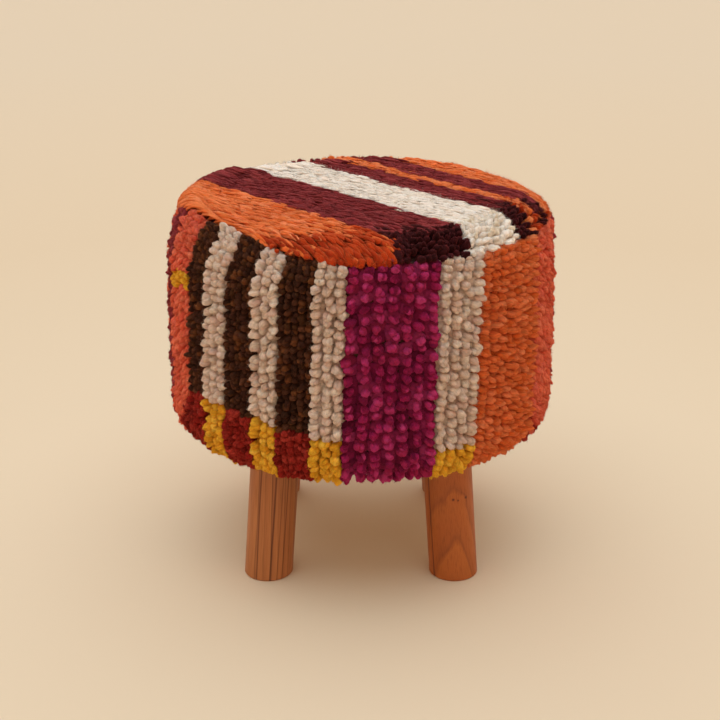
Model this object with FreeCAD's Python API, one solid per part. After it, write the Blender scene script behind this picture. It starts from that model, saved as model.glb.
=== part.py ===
import FreeCAD, Part
import math
import os

# Round upholstered stool: a drum seat covered in a striped tufted rug, on four splayed round legs.
# Millimetres, +Z up. The origin is on the floor under the middle of the seat, and -Y is the front.

# Seat, measured over the pile.
seat_diameter = 400.0
seat_height = 383.0
skirt_clearance = 139.0
rim_round_height = 34.0
rim_round_width = 60.0
skirt_round_radius = 34.0

# Rug cover: ground weave and pile together, turned under at the skirt and stapled.
rug_thickness = 17.0
ground_thickness = 3.0
hem_pile_width = 6.0
hem_flap_width = 11.0
hem_leg_clearance = 2.5
seam_angle = 33.0
seam_parting_angle = 4.0
round_step_angle = 30.0

# Coloured border along the skirt: its mean height, and how much higher it stands at the left.
border_height = 48.4
border_slant_height = 28.4

# Foam over the drum.
wrap_thickness = 20.0
pad_thickness = 45.0
foam_bevel_width = 10.0

# Drum frame.
skin_thickness = 3.0
skin_butt_width = 2.0
base_thickness = 18.0
top_thickness = 15.0
post_width = 45.0
post_depth = 20.0
post_edge_radius = 2.0
tenon_width = 28.0
tenon_depth = 10.0

# Legs.
leg_diameter = 50.0
leg_splay_angle = 5.6
foot_chamfer_width = 1.5

# Hanger bolts and the threaded inserts that take them.
bolt_diameter = 8.0
bolt_wood_length = 30.0
insert_wall_thickness = 2.0
insert_length_share = 0.75

# Dust cover stretched under the seat, cut with straight snips.
dust_thickness = 0.6
dust_overlap_width = 7.5
dust_hole_clearance = 1.0
dust_side_count = 24
dust_hole_side_count = 8

# How far a cutting shape runs past what it cuts.
overrun_length = 5.0

# Stripes of the side strip, anticlockwise from the left: colour, colour of its border, share of the turn.
first_stripe_angle = 186.0
side_stripe_shares = [
    ("maroon", None, 9.0),
    ("red_orange", "red", 16.5),
    ("brown", "red", 8.5),
    ("beige", "yellow", 9.5),
    ("brown", "red", 9.5),
    ("beige", "yellow", 8.8),
    ("brown", "red", 9.2),
    ("beige", "yellow", 8.7),
    ("magenta", None, 25.5),
    ("beige", "yellow", 13.3),
    ("orange", None, 21.8),
    ("red_orange", "red", 23.7),
    ("maroon", None, 20.0),
    ("beige", "yellow", 17.0),
    ("brown", "red", 17.0),
    ("magenta", None, 30.0),
    ("beige", "yellow", 17.0),
    ("orange", None, 28.0),
    ("brown", "red", 17.0),
    ("beige", "yellow", 17.0),
    ("red_orange", "red", 33.0),
]

# Stripes of the top, from its front left to its back right, and their edges as shares of the seat radius.
top_stripe_heading = -46.0
top_stripe_colours = ["orange", "maroon", "cream", "maroon", "orange", "maroon", "orange"]
top_stripe_edge_shares = [-0.425, -0.07, 0.245, 0.415, 0.495, 0.645]

# Places round the drum.
leg_angles = {
    "leg_front_right": 315.0,
    "leg_front_left": 225.0,
    "leg_rear_left": 135.0,
    "leg_rear_right": 45.0,
}
post_angles = {
    "post_right": 0.0,
    "post_rear": 90.0,
    "post_left": 180.0,
    "post_front": 270.0,
}
full_turn = 360.0

# Radii, from the pile inwards.
seat_radius = seat_diameter / 2
foam_radius = seat_radius - rug_thickness
skin_radius = foam_radius - wrap_thickness
board_radius = skin_radius - skin_thickness
pile_end_radius = seat_radius - skirt_round_radius - hem_pile_width
flap_inner_radius = pile_end_radius - hem_flap_width

# Levels, from the floor upwards.
base_bottom = skirt_clearance + rug_thickness
base_top = base_bottom + base_thickness
pad_top = seat_height - rug_thickness
pad_bottom = pad_top - pad_thickness
top_board_upper = pad_bottom
top_board_lower = top_board_upper - top_thickness
post_length = top_board_lower - base_top
flap_level = base_bottom - ground_thickness

# Legs stand just inside the turned-under hem and lean outwards.
leg_radius = leg_diameter / 2
splay = math.radians(leg_splay_angle)
leg_top_level = base_bottom
leg_seat_radius = flap_inner_radius - hem_leg_clearance - leg_radius / math.cos(splay)

z_axis = FreeCAD.Vector(0, 0, 1)
origin = FreeCAD.Vector(0, 0, 0)


def at(radius, level):
    """A point of a section in the XZ plane."""
    return FreeCAD.Vector(radius, 0, level)


def closed_section(points):
    """A flat face whose outline joins the points in order."""
    return Part.Face(Part.makePolygon(points + points[:1]))


def turned(face, sweep=full_turn, start=0.0):
    """The solid that a section sweeps about the vertical axis."""
    solid = face.revolve(origin, z_axis, sweep)
    solid.rotate(origin, z_axis, start)
    return solid


def on_round(centre, reach, rise, angle):
    """A point on an elliptical rounding, with the angle counted up from the horizontal."""
    a = math.radians(angle)
    return centre + at(reach * math.cos(a), rise * math.sin(a))


def spun(shape, angle):
    """A copy of a shape, turned about the vertical axis."""
    copy = shape.copy()
    copy.rotate(origin, z_axis, angle)
    return copy


def cut_all(shape, tools):
    return shape.cut(Part.makeCompound(tools))


def largest(shape):
    return max(shape.Solids, key=lambda solid: solid.Volume)


def box_between(low, high):
    """A box with two opposite corners given."""
    size = high - low
    return Part.makeBox(size.x, size.y, size.z, low)


# Section of the rug: both pieces meet at a root on the foam's bevel, where the rim seam is sewn.
seam_root = at(foam_radius - foam_bevel_width / 2, pad_top - foam_bevel_width / 2)
rim_centre = at(seat_radius - rim_round_width, seat_height - rim_round_height)
skirt_centre = at(seat_radius - skirt_round_radius, skirt_clearance + skirt_round_radius)


def rim_point(angle):
    return on_round(rim_centre, rim_round_width, rim_round_height, angle)


def skirt_point(angle):
    return on_round(skirt_centre, skirt_round_radius, skirt_round_radius, -angle)


def stepped(first, last):
    """Angles from one to the other in even steps, no longer than the rounding's step."""
    count = math.ceil(abs(last - first) / round_step_angle)
    return [first + (last - first) * i / count for i in range(count + 1)]


def side_rug_section():
    """Side strip: up to the seam at the rim, down the wall, round the skirt and under the base."""
    lip_angle = seam_angle - seam_parting_angle
    outer = [rim_point(angle) for angle in stepped(lip_angle, 0)]
    outer += [skirt_point(angle) for angle in stepped(0, 90)]
    inner = [
        at(pile_end_radius, skirt_clearance),
        at(pile_end_radius, flap_level),
        at(flap_inner_radius, flap_level),
        at(flap_inner_radius, base_bottom),
        at(foam_radius, base_bottom),
        at(foam_radius, pad_top - foam_bevel_width),
        seam_root,
    ]
    return closed_section(outer + inner)


def top_rug_section():
    """Top piece: a disc whose pile falls away in a long rounding to the seam."""
    lip_angle = seam_angle + seam_parting_angle
    outer = [at(0, seat_height)]
    outer += [rim_point(angle) for angle in stepped(90, lip_angle)]
    inner = [seam_root, at(foam_radius - foam_bevel_width, pad_top), at(0, pad_top)]
    return closed_section(outer + inner)


def below_border(angle):
    """The space under the border's upper edge in the stripe at an angle round the drum."""
    reach = seat_radius + overrun_length
    rise = -border_slant_height * math.cos(math.radians(angle))
    return box_between(
        FreeCAD.Vector(-reach, -reach, 0),
        FreeCAD.Vector(reach, reach, skirt_clearance + border_height + rise),
    )


def side_rug():
    """Stripes of the side strip, gathered by colour, with the border's solids under their own colours."""
    pieces = {}
    profile = side_rug_section()
    whole = sum(share for _, _, share in side_stripe_shares)
    angle = first_stripe_angle
    for colour, border_colour, share in side_stripe_shares:
        sweep = full_turn * share / whole
        stripe = turned(profile, sweep, angle)
        if border_colour:
            border_space = below_border(angle + sweep / 2)
            border = largest(stripe.common(border_space))
            pieces.setdefault("rug_border_" + border_colour, []).append(border)
            stripe = largest(stripe.cut(border_space))
        pieces.setdefault("rug_side_" + colour, []).append(stripe)
        angle += sweep
    return pieces


def top_rug():
    """Stripes of the top piece, gathered by colour."""
    pieces = {}
    disc = turned(top_rug_section())
    reach = seat_radius + overrun_length
    inner_edges = [share * seat_radius for share in top_stripe_edge_shares]
    edges = [-reach] + inner_edges + [reach]
    for colour, low, high in zip(top_stripe_colours, edges, edges[1:]):
        band = box_between(
            FreeCAD.Vector(-reach, low, 0),
            FreeCAD.Vector(reach, high, seat_height + overrun_length),
        )
        stripe = largest(disc.common(spun(band, top_stripe_heading)))
        pieces.setdefault("rug_top_" + colour, []).append(stripe)
    return pieces


def foam_pad():
    """Seat pad: a foam disc with a bevelled upper edge."""
    return turned(closed_section([
        at(0, pad_top),
        at(foam_radius - foam_bevel_width, pad_top),
        at(foam_radius, pad_top - foam_bevel_width),
        at(foam_radius, pad_bottom),
        at(0, pad_bottom),
    ]))


def foam_wrap():
    """Foam sheet wrapped round the drum, up to the underside of the pad."""
    return turned(closed_section([
        at(skin_radius, base_bottom),
        at(foam_radius, base_bottom),
        at(foam_radius, pad_bottom),
        at(skin_radius, pad_bottom),
    ]))


def drum_skin():
    """Bent hardboard wall whose ends butt over the rear post."""
    wall = turned(closed_section([
        at(board_radius, base_bottom),
        at(skin_radius, base_bottom),
        at(skin_radius, top_board_upper),
        at(board_radius, top_board_upper),
    ]))
    slot = box_between(
        FreeCAD.Vector(-skin_butt_width / 2, board_radius - overrun_length, base_bottom - overrun_length),
        FreeCAD.Vector(skin_butt_width / 2, skin_radius + overrun_length, top_board_upper + overrun_length),
    )
    return wall.cut(slot)


def on_leg_axis(shape, angle):
    """Place a shape whose local Z runs up the leg's axis and whose local zero is at the leg's top."""
    placed = shape.copy()
    placed.rotate(origin, FreeCAD.Vector(0, 1, 0), -leg_splay_angle)
    placed.translate(FreeCAD.Vector(leg_seat_radius, 0, leg_top_level))
    placed.rotate(origin, z_axis, angle)
    return placed


# Heights along the leg's axis, counted from the leg's top.
bolt_radius = bolt_diameter / 2
insert_radius = bolt_radius + insert_wall_thickness
board_on_axis = base_thickness / math.cos(splay)
insert_length = insert_length_share * board_on_axis
insert_foot = (board_on_axis - insert_length) / 2
bolt_top = insert_foot + insert_length


def hanger_bolt():
    """Double-ended bolt: a wood end in the leg, and a machine end in the threaded insert."""
    return Part.makeCylinder(bolt_radius, bolt_wood_length + bolt_top, at(0, -bolt_wood_length))


def threaded_insert():
    """Sleeve driven into the board, which the bolt screws into."""
    sleeve = Part.makeCylinder(insert_radius, insert_length, at(0, insert_foot))
    return sleeve.cut(hanger_bolt())


def insert_hole():
    """Hole drilled through the board along the leg's axis."""
    return Part.makeCylinder(insert_radius, board_on_axis + 2 * overrun_length, at(0, -overrun_length))


def leg():
    """Round leg at the right of the drum, cut level at the seat and at the floor, with its foot eased."""
    length = leg_top_level / math.cos(splay)
    lean_allowance = leg_radius * math.tan(splay) + overrun_length
    rod = Part.makeCylinder(leg_radius, length + 2 * lean_allowance, at(0, -length - lean_allowance))
    rod = on_leg_axis(rod, 0.0)
    reach = seat_radius + overrun_length
    room = box_between(
        FreeCAD.Vector(-reach, -reach, 0),
        FreeCAD.Vector(reach, reach, leg_top_level),
    )
    rod = rod.common(room)
    foot_edges = [edge for edge in rod.Edges if edge.BoundBox.ZMax < foot_chamfer_width]
    rod = rod.makeChamfer(foot_chamfer_width, foot_edges)
    return rod.cut(on_leg_axis(hanger_bolt(), 0.0))


# Posts: flat outer faces whose corners just reach the skin.
post_outer_radius = math.sqrt(board_radius**2 - (post_width / 2) ** 2)
post_middle_radius = post_outer_radius - post_depth / 2


def tenon(low, high):
    """Stub at a post's end that fills a mortise in a board."""
    return box_between(
        FreeCAD.Vector(post_middle_radius - tenon_depth / 2, -tenon_width / 2, low),
        FreeCAD.Vector(post_middle_radius + tenon_depth / 2, tenon_width / 2, high),
    )


def post():
    """Upright batten between the boards, tenoned into both, with its inner edges eased."""
    batten = box_between(
        FreeCAD.Vector(post_outer_radius - post_depth, -post_width / 2, base_top),
        FreeCAD.Vector(post_outer_radius, post_width / 2, top_board_lower),
    )
    inner_edges = [
        edge for edge in batten.Edges
        if edge.BoundBox.ZLength > post_length / 2 and edge.BoundBox.XMax < post_middle_radius
    ]
    batten = batten.makeFillet(post_edge_radius, inner_edges)
    return batten.fuse([tenon(base_bottom, base_top), tenon(top_board_lower, top_board_upper)])


def cloth_piece(side_count, corner_radius):
    """A regular piece of the dust cover's cloth, centred under the drum's middle."""
    half_step = full_turn / side_count / 2
    corner = at(corner_radius, flap_level - dust_thickness)
    corners = []
    for i in range(side_count):
        turn = FreeCAD.Rotation(z_axis, (2 * i + 1) * half_step)
        corners.append(turn.multVec(corner))
    return closed_section(corners).extrude(z_axis * dust_thickness)


def dust_cover():
    """Thin cloth stretched flat over the hem's flap, snipped out round the legs."""
    cloth = cloth_piece(dust_side_count, flap_inner_radius + dust_overlap_width)
    hole_radius = (leg_radius + dust_hole_clearance) / math.cos(math.pi / dust_hole_side_count)
    hole = cloth_piece(dust_hole_side_count, hole_radius)
    leg_reach = leg_seat_radius + (leg_top_level - flap_level) * math.tan(splay)
    hole.translate(at(leg_reach, 0))
    return cut_all(cloth, [spun(hole, angle) for angle in leg_angles.values()])


parts = {}

# Drum frame.
threaded_inserts = [on_leg_axis(threaded_insert(), angle) for angle in leg_angles.values()]
insert_holes = [on_leg_axis(insert_hole(), angle) for angle in leg_angles.values()]
posts = {name: spun(post(), angle) for name, angle in post_angles.items()}
parts.update(posts)

base_board = Part.makeCylinder(board_radius, base_thickness, at(0, base_bottom))
base_board = cut_all(base_board, insert_holes)
parts["base_board"] = cut_all(base_board, list(posts.values()))

top_board = Part.makeCylinder(board_radius, top_thickness, at(0, top_board_lower))
parts["top_board"] = cut_all(top_board, list(posts.values()))
parts["drum_skin"] = drum_skin()

# Legs and their fixings.
for name, angle in leg_angles.items():
    parts[name] = spun(leg(), angle)
parts["hanger_bolts"] = Part.makeCompound([on_leg_axis(hanger_bolt(), a) for a in leg_angles.values()])
parts["threaded_inserts"] = Part.makeCompound(threaded_inserts)

# Upholstery.
parts["foam_wrap"] = foam_wrap()
parts["foam_pad"] = foam_pad()
rug = {**side_rug(), **top_rug()}
for name, stripes in rug.items():
    parts[name] = Part.makeCompound(stripes)
parts["dust_cover"] = dust_cover()

os.makedirs("parts", exist_ok=True)
for name, shape in parts.items():
    shape.exportStep(os.path.join("parts", name + ".step"))
    print(name, len(shape.Solids), round(shape.Volume), shape.isValid())
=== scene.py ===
import math

import bpy
import numpy as np
from mathutils import Matrix, Vector
from mathutils.geometry import delaunay_2d_cdt


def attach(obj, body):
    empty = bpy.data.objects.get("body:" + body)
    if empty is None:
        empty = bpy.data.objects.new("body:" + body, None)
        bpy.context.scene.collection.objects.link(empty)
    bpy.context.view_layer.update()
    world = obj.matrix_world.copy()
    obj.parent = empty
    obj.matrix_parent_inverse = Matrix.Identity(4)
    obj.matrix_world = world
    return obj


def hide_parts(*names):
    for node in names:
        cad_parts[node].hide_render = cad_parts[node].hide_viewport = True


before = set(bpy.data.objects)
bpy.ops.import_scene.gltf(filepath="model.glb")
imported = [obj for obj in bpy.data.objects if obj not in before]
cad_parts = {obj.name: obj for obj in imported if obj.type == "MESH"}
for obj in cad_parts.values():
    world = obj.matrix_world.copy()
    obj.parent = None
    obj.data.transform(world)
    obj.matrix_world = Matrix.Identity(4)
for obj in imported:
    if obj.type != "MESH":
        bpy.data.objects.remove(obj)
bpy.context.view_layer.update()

# ---- Sizes in millimetres and angles in degrees, with the stool's axis on Z and the floor at zero ----

MM = 0.001
TURN = 2 * math.pi
PILE = 14.0                      # the pile's height over the ground cloth
SEAT_RADIUS, SEAT_HEIGHT = 200.0, 383.0
RIM_PLAIN, RIM_STUFFED = (52, 32), (28, 62)                 # the rim's half axes, outward and up
SEAM_LOW, SEAM_RISE = 32, 45.6   # how far up the rim's round the seam runs, in degrees
RIM_INSET = 2.0                  # the side leans in this much on its way up to the rim
LEAN_FROM, LEAN_OVER = 275, 45   # the height where that lean starts, and its length
WALL_FOOT = 173.0                # height at which the side turns under
SKIRT_RADIUS = 166.0             # radius of the turn's centre
SKIRT_ROUND = 34.0               # radius of the turn at the pile's tips
HEM_RADIUS = 161.0               # the last row of knots under the seat
FLAP_RADIUS, FLAP_HEIGHT = 149.5, 153.4                     # the ground cloth's edge under the seat
COVER_RADIUS, COVER_HEIGHT, COVER_HOLE = 156.5, 152.7, 26.2
LEG_FOOT, LEG_HEAD, LEG_HEIGHT = 136.68, 121.38, 156        # a leg's axis: distance out at both ends

# Spans round the stool, anticlockwise: from, to, and the width of the easing before and after
RIM_FULL = (145, 218, 26, 50)    # the rim is stuffed fullest
SEAM_HIGH = (192, 218, 28, 50)   # the side strip is sewn on highest
CLIMB = (197, 230, 9, 16)        # the side strip's tufts climb over the seam
NAP_START = (75, 190, 22, 26)    # the top's combing starts from the rim
CREASE = (192, 252, 8, 16)       # the top's yarns dip just before the seam
PAINTED_SHADE_ORANGE = (200, 350, 15, 15)  # the top's orange takes its darker shades here: painted shade on the front rim
PAINTED_SHADE_OTHERS = (276, 354, 15, 15)  # the top's other wools take theirs: painted shade towards the front rim

# Side stripes, anticlockwise from their first angle: wool and last angle; the border's wool where it differs
SIDE_START = 186.0
SIDE_STRIPES = (
    ("maroon", 195.0), ("red_orange", 210.6), ("brown", 219.8), ("beige", 228.4), ("brown", 238.4),
    ("beige", 246.2), ("brown", 256.4), ("beige", 265.1), ("magenta", 291.6), ("beige", 304.4),
    ("orange", 330.0), ("red_orange", 355.0), ("maroon", 370.0), ("beige", 387.0), ("brown", 404.0),
    ("magenta", 434.0), ("beige", 451.0), ("orange", 479.0), ("brown", 496.0), ("beige", 513.0),
    ("red_orange", 546.0),
)
BORDERS = {"beige": "yellow", "brown": "red", "red_orange": "red"}
BORDER_HEIGHT, BORDER_RISE = 187.4, 28.4     # the border's height at the front, and its rise to the left
RUN_OUT_AT, RUN_OUT_SLOPE = 211.5, 5.6       # left of here the red border runs out, by mm per degree
PATCH_SPAN = (180, 216)                      # a yellow patch slants across the first red-orange stripe
PATCH_AT, PATCH_HEIGHT, PATCH_SLOPE, PATCH_HALF = 200, 316, 0.8, 10
SLANT, SLANT_AT = 0.009, 250                 # the stripes slant by degrees per mm from a height
RIM_SLANT, RIM_SLANT_AT = 0.03, 342          # and more so over the rim
PARTING = 272                                # the side's nap parts here
# Each side wool: column and row pitch; a tuft's extra height, half width, half height, droop, plies and hairs
SIDE_TUFTS = {
    "beige": (10.6, 8.0, 1.0, 6.0, 5.0, 0.8, 4, 22),
    "brown": (7.4, 6.0, -1.2, 4.2, 3.7, 0.8, 3, 30),
    "magenta": (12.7, 9.8, 0.0, 5.5, 4.9, 1.0, 4, 30),
    "orange": (10.8, 7.4, 0.0, 4.8, 3.9, 0.6, 4, 20),
    "red_orange": (8.6, 8.0, -0.5, 4.8, 4.6, 7.0, 5, 20),
    "maroon": (10.2, 8.0, 0.0, 5.8, 5.2, 3.0, 5, 20),
    "yellow": (10.6, 7.7, 0.5, 6.2, 5.2, 1.5, 4, 20),
    "red": (10.4, 7.5, -0.3, 6.0, 5.1, 1.5, 5, 20),
}

TOP_HEADING = -46.0              # the way the top's pile is combed
# Top stripes, across the combing: wool and its far edge
TOP_STRIPES = (("orange", -85.0), ("maroon", -14.0), ("cream", 49.0), ("maroon", 83.0),
               ("orange", 99.0), ("maroon", 129.0), ("orange", 300.0))
THIN_STRIPE, THIN_REACH, THIN_DRAW = 91, 14, 0.72   # standing knots draw in to the thin stripe's middle
# The top's yarns from the back to the front rim: pitch along and across the combing, half width; and the
# distances to the front at which one gives way to the next
TOP_BANDS = ((8.0, 3.1, 1.8), (9.0, 4.3, 2.5), (10.0, 6.0, 3.5))
BAND_EDGES, BAND_FACING = (88.0, 138.0), -72
NAP_TURN, NAP_SHIFT = 48, 22     # the nap turns over the rim in this depth, and shifts by this much
# Standing tufts: the span round the stool, the depth in from the seam, and the rows of knots
STAND_FRONT, STAND_BACK = (-80.0, -6.0), (50.0, 142.0)
FRONT_DEPTH, BACK_DEPTH = 38, 14.5
FRONT_ROWS, BACK_ROWS = np.arange(-34.0, 0.0, 6.5), (-11.5, -5.2, 1.2)
STAND_PITCH = math.degrees(7.5 / 178)

CLASSES, FIRST_PAINTED_SHADE = 8, 6       # shades of one wool across the tufts' own map; the top's darker ones, painted shade, last
GOLDEN_ANGLE = 2.39996
SIDE_FACES, TOP_KNOTS = 190000, 800          # the most that one piece of the pile takes


# ---- Materials ----

def linear(code, gain=1.0):
    """A colour written as six hexadecimal sRGB digits, as linear RGBA."""
    shares = [int(code[i:i + 2], 16) / 255 for i in (0, 2, 4)]
    return [gain * (x / 12.92 if x <= 0.04045 else ((x + 0.055) / 1.055) ** 2.4) for x in shares] + [1.0]


def fill_ramp(ramp, stops):
    """Each stop is a place and a colour, as sRGB digits, a grey or linear RGBA."""
    while len(ramp.elements) < len(stops):
        ramp.elements.new(0.5)
    for element, (place, colour) in zip(ramp.elements, stops):
        if isinstance(colour, str):
            colour = linear(colour)
        element.position = place
        element.color = colour if hasattr(colour, "__len__") else (colour, colour, colour, 1.0)


class Nodes:
    """A material's node tree, with short calls for the nodes used here."""

    def __init__(self, name, **values):
        self.material = bpy.data.materials.new(name)
        self.material.use_nodes = True
        self.tree = self.material.node_tree
        self.shader = self.tree.nodes["Principled BSDF"]
        for key, value in values.items():
            self.shader.inputs[key.replace("_", " ")].default_value = value

    def set(self, socket, value):
        if isinstance(value, bpy.types.NodeSocket):
            self.tree.links.new(value, socket)
        else:
            socket.default_value = value

    def node(self, kind, inputs, output=0, **settings):
        """One output of a new node, or all for None. The inputs are given by name or number."""
        node = self.tree.nodes.new("ShaderNode" + kind)
        for key, value in settings.items():
            setattr(node, key, value)
        for key, value in inputs.items():
            self.set(node.inputs[key], value)
        return node.outputs if output is None else node.outputs[output]

    def coords(self):
        return self.node("TexCoord", {}, "Object")

    def uv(self):
        return self.split(self.node("UVMap", {}, "UV", uv_map="OFBake"))[:2]

    def mapped(self, vector, kind="POINT", location=(0, 0, 0), rotation=(0, 0, 0), scale=(1, 1, 1)):
        places = {"Vector": vector, "Location": location, "Rotation": rotation, "Scale": scale}
        return self.node("Mapping", places, vector_type=kind)

    def split(self, vector):
        return self.node("SeparateXYZ", {0: vector}, None)

    def joined(self, x, y=0.0):
        return self.node("CombineXYZ", {0: x, 1: y, 2: 0.0})

    def math(self, operation, a, b=0.0, c=0.0):
        return self.node("Math", {0: a, 1: b, 2: c}, operation=operation)

    def plus(self, a, b):
        return self.math("ADD", a, b)

    def times(self, a, b):
        return self.math("MULTIPLY", a, b)

    def distance(self, vector, point):
        return self.node("VectorMath", {0: vector, 1: point}, "Value", operation="DISTANCE")

    def noise(self, vector, scale, detail=2.0, rough=0.5, distortion=0.0):
        return self.node("TexNoise", {"Vector": vector, "Scale": scale, "Detail": detail, "Roughness": rough,
                                      "Distortion": distortion}, "Fac")

    def stretched(self, vector, scale, *values):
        """Noise with a scale along each axis."""
        return self.noise(self.mapped(vector, scale=scale), 1.0, *values)

    def cells(self, vector, scale):
        return self.node("TexVoronoi", {"Vector": vector, "Scale": scale}, "Distance")

    def ramp(self, share, stops, interpolation="LINEAR"):
        node = self.tree.nodes.new("ShaderNodeValToRGB")
        self.set(node.inputs[0], share)
        node.color_ramp.interpolation = interpolation
        fill_ramp(node.color_ramp, stops)
        return node.outputs["Color"]

    def mix(self, kind, share, a, b):
        return self.node("Mix", {0: share, 6: a, 7: b}, 2, data_type="RGBA", blend_type=kind)

    def between(self, value, low, high, to_low=0.0, to_high=1.0):
        return self.node("MapRange", {"Value": value, "From Min": low, "From Max": high,
                                      "To Min": to_low, "To Max": to_high})

    def finished(self, colour, rough=None, bumps=None):
        """The material, from a colour, the roughness ramp, and the bumps' height, strength and distance."""
        inputs = self.shader.inputs
        self.set(inputs["Base Color"], colour)
        if rough:
            self.set(inputs["Roughness"], self.ramp(*rough))
        if bumps:
            height, strength, distance = bumps
            bumps = self.node("Bump", {"Height": height, "Strength": strength, "Distance": distance})
            self.set(inputs["Normal"], bumps)
        return self.material


def wool(name, root, tones, soft=0.35):
    """Yarn: each tuft has one of eight shades, painted shade towards its knot, and fibres running along it.
    """
    tones = tones.split()
    m = Nodes(name, Roughness=0.92, Sheen_Weight=0.5, Sheen_Roughness=0.45, Specular_IOR_Level=0.12,
              Sheen_Tint=linear(tones[3], 1.25), Subsurface_Weight=soft, Subsurface_Scale=0.003,
              Subsurface_Radius=(1.0, 0.6, 0.5))
    u, v = m.uv()
    shades = [(k / CLASSES, linear(tones[k % len(tones)], 1.0 - 0.05 * (k // len(tones))))
              for k in range(CLASSES)]
    strands = m.noise(m.joined(m.times(u, 90.0), m.times(v, 3.5)), 1.0, 4.0, 0.65)
    streak = m.ramp(strands, [(0.28, 0.68), (0.50, 1.0), (0.72, 1.28)])
    shade = m.mix("MULTIPLY", 0.85, m.ramp(u, shades, "CONSTANT"), streak)
    # Painted shade: each tuft darkens from its middle down to its knot, where the pile round it shades it
    depth = m.ramp(v, [(0.0, root), (0.35, 0.5 + root / 2), (0.6, 1.0)])
    return m.finished(m.mix("MULTIPLY", 1.0, shade, depth), (strands, [(0.3, 0.98), (0.7, 0.84)]),
                      (strands, 0.7, 0.003))


def wood(name, foot, axis_turn, pith, tilt, tint, knots, lines):
    """A turned leg: growth rings about a pith off the leg's own axis, pores, knots, and dark lines along it.

    A knot is a point in metres and its size; a line is its angle round the leg, its width and its darkness.
    """
    m = Nodes(name, Specular_IOR_Level=0.35, Coat_Weight=0.06, Coat_Roughness=0.35)
    place = m.coords()
    local = m.mapped(place, "TEXTURE", foot, axis_turn)
    along = m.mapped(local, rotation=tilt)
    slow, fine = m.stretched(along, (24, 24, 3.5)), m.stretched(along, (90, 90, 7))
    x, y, _ = m.split(along)
    dx, dy = m.math("SUBTRACT", x, pith[0]), m.math("SUBTRACT", y, pith[1])
    radius = m.math("SQRT", m.plus(m.times(dx, dx), m.times(dy, dy)))
    radius = m.plus(m.plus(radius, m.times(slow, 0.008)), m.times(fine, 0.0022))
    for point, size in knots:
        radius = m.plus(radius, m.between(m.distance(place, point), 0.0, size * 7, 0.0016, 0.0))
    ring = m.math("FRACT", m.times(radius, 150.0))
    year = m.noise(m.joined(m.times(radius, 90.0)), 1.0)
    grain = m.ramp(ring, [(0.0, "b87845"), (0.45, "ae6c3d"), (0.74, "a26338"), (0.88, "814a29"),
                          (1.0, "b27241")])
    plain = m.mix("MIX", m.ramp(year, [(0.38, 0.0), (0.58, 0.85)]), grain, linear("b2703f"))
    pores = m.stretched(along, (900, 900, 28), 2.0, 0.6)
    shade = m.mix("MULTIPLY", 0.55, plain, m.ramp(pores, [(0.30, 0.62), (0.5, 1.0), (0.8, 1.08)]))
    cloud = m.ramp(m.stretched(along, (30, 30, 6)), [(0.3, (0.80, 0.74, 0.70, 1)), (0.7, 1.06)])
    shade = m.mix("MULTIPLY", 0.5, shade, cloud)
    for point, size in knots:
        near = m.plus(m.distance(place, point), m.times(fine, size * 0.5))
        dark = m.ramp(m.between(near, size * 0.6, size * 2.2),
                      [(0.0, (0.16, 0.10, 0.07, 1)), (0.5, (0.62, 0.52, 0.45, 1)), (1.0, 1.0)])
        shade = m.mix("MULTIPLY", 1.0, shade, dark)
    x, y, _ = m.split(local)
    turn = m.plus(m.math("ARCTAN2", y, x), m.times(slow, 0.22))
    for degrees, width, strength in lines:
        off = m.math("ABSOLUTE", m.math("SUBTRACT", turn, math.radians(degrees) + 0.11))
        dark = m.ramp(m.between(off, 0.0, width),
                      [(0.0, (0.28, 0.20, 0.16, 1)), (0.35, (0.50, 0.40, 0.34, 1)), (1.0, 1.0)])
        shade = m.mix("MULTIPLY", strength, shade, dark)
    return m.finished(m.mix("MULTIPLY", 1.0, shade, tint), (pores, [(0.3, 0.62), (0.7, 0.44)]),
                      (m.plus(m.times(pores, 0.6), m.times(ring, 0.4)), 0.35, 0.0006))


def plywood(name):
    m = Nodes(name, Specular_IOR_Level=0.3)
    ply = 2.6
    grain = m.stretched(m.coords(), (6, 160, 60), 4.0, 0.6, 0.4)
    plies = m.math("PINGPONG", m.times(m.split(m.coords())[2], 1 / MM), ply)
    sheet = m.ramp(grain, [(0.3, "b98f5f"), (0.55, "d0aa78"), (0.75, "dcbb8c")])
    layers = m.ramp(m.math("DIVIDE", plies, ply), [(0.3, 0.75), (0.6, 1.0)])
    return m.finished(m.mix("MULTIPLY", 0.5, sheet, layers), (grain, [(0.3, 0.8), (0.7, 0.62)]),
                      (grain, 0.3, 0.0008))


def batten(name):
    m = Nodes(name, Specular_IOR_Level=0.3)
    grain = m.stretched(m.coords(), (150, 150, 8), 4.0, 0.6, 0.6)
    return m.finished(m.ramp(grain, [(0.3, "b8894f"), (0.5, "d6ad72"), (0.72, "e2c08c")]),
                      (grain, [(0.3, 0.75), (0.7, 0.55)]), (grain, 0.3, 0.0007))


def hardboard(name):
    m = Nodes(name, Specular_IOR_Level=0.3)
    fibres = m.noise(m.coords(), 420.0, 4.0, 0.7)
    return m.finished(m.ramp(fibres, [(0.3, "4b3422"), (0.55, "6a4a30"), (0.75, "80603f")]),
                      (fibres, [(0.3, 0.8), (0.7, 0.6)]), (fibres, 0.4, 0.0008))


def zinc_steel(name):
    m = Nodes(name, Metallic=1.0)
    spots, wear = m.cells(m.coords(), 700.0), m.noise(m.coords(), 180.0, 3.0)
    bright = m.ramp(spots, [(0.1, "a9aeb3"), (0.7, "c9cdd0")])
    return m.finished(m.mix("MIX", wear, bright, linear("8f959b")), (wear, [(0.3, 0.28), (0.7, 0.46)]),
                      (spots, 0.1, 0.0003))


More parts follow.
